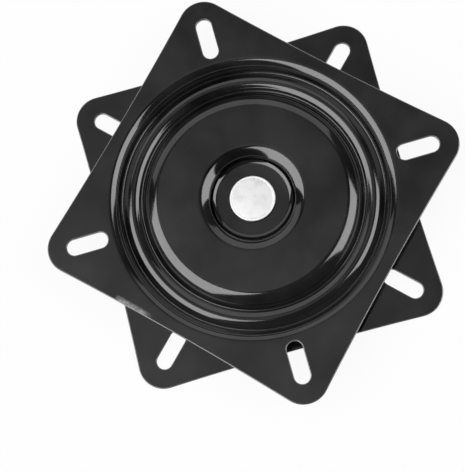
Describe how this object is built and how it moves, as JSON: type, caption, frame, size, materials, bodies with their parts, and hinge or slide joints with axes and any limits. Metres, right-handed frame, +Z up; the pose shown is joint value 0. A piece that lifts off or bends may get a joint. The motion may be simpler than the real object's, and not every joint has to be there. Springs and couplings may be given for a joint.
{
  "type": "lazy susan bearing",
  "caption": "Square two-plate swivel bearing in black pressed steel, with slotted corners, a ball race and a central kingpin rivet.",
  "frame": {"origin": "bottom centre: the turning axis at the underside of the base plate", "axes": "+Z up along the turning axis, towards the top plate; the top plate's edges run along X and Y at rest"},
  "size_m": [0.2394, 0.2394, 0.0224],
  "materials": {
    "black_enamel": "gloss black baked enamel",
    "zinc_plated_steel": "bright zinc plating, slightly mottled",
    "bearing_steel": "polished and lightly greased",
    "nylon": "natural nylon"
  },
  "bodies": {
    "base": {"bottom_plate": "black_enamel", "kingpin_rivet": "zinc_plated_steel", "cap_washer": "black_enamel", "upper_thrust_washer": "nylon", "lower_thrust_washer": "nylon", "tail_washer": "zinc_plated_steel"},
    "seat_plate": {"top_plate": "black_enamel"},
    "ball_cage": {"ball_retainer": "nylon", "ball_01": "bearing_steel", "ball_02": "bearing_steel", "ball_03": "bearing_steel", "ball_04": "bearing_steel", "ball_05": "bearing_steel", "ball_06": "bearing_steel", "ball_07": "bearing_steel", "ball_08": "bearing_steel", "ball_09": "bearing_steel", "ball_10": "bearing_steel", "ball_11": "bearing_steel", "ball_12": "bearing_steel", "ball_13": "bearing_steel", "ball_14": "bearing_steel", "ball_15": "bearing_steel", "ball_16": "bearing_steel", "ball_17": "bearing_steel", "ball_18": "bearing_steel", "ball_19": "bearing_steel", "ball_20": "bearing_steel", "ball_21": "bearing_steel", "ball_22": "bearing_steel", "ball_23": "bearing_steel", "ball_24": "bearing_steel"}
  },
  "joints": [
    {"name": "plate_turn", "type": "hinge", "parent": "base", "child": "seat_plate", "pos_m": [0, 0, 0], "axis": [0, 0, 1], "continuous": true},
    {"name": "cage_turn", "type": "hinge", "parent": "base", "child": "ball_cage", "pos_m": [0, 0, 0], "axis": [0, 0, 1], "continuous": true}
  ],
  "couplings": [
    {"joint": "cage_turn", "follows": "plate_turn", "ratio": 0.5}
  ]
}
